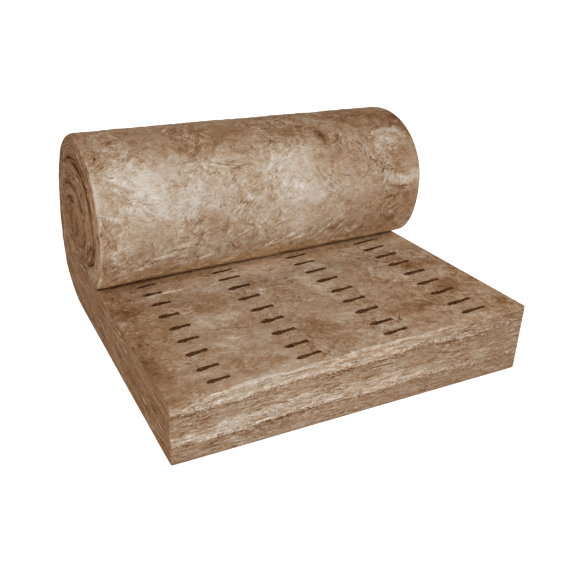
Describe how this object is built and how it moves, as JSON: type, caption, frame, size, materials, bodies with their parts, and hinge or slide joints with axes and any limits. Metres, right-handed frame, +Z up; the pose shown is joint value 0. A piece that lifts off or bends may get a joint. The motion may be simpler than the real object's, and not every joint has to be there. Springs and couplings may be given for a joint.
{
  "type": "insulation roll",
  "caption": "Glass wool blanket, part unrolled: a thick flat tail with cut marks across it, and the rest wound in a roll that lies on the tail.",
  "frame": {"origin": "on the floor, under the middle of the whole part's bounding box", "axes": "+X across the blanket, along the roll's own axis, to the right seen from the cut end; +Y from the cut end towards the roll; +Z up"},
  "size_m": [1.224, 1.26, 0.697],
  "materials": {
    "glass_wool": "matte brown glass wool, mottled with pale tufts and fibres"
  },
  "bodies": {
    "root": {"insulation_blanket": "glass_wool"}
  },
  "joints": []
}
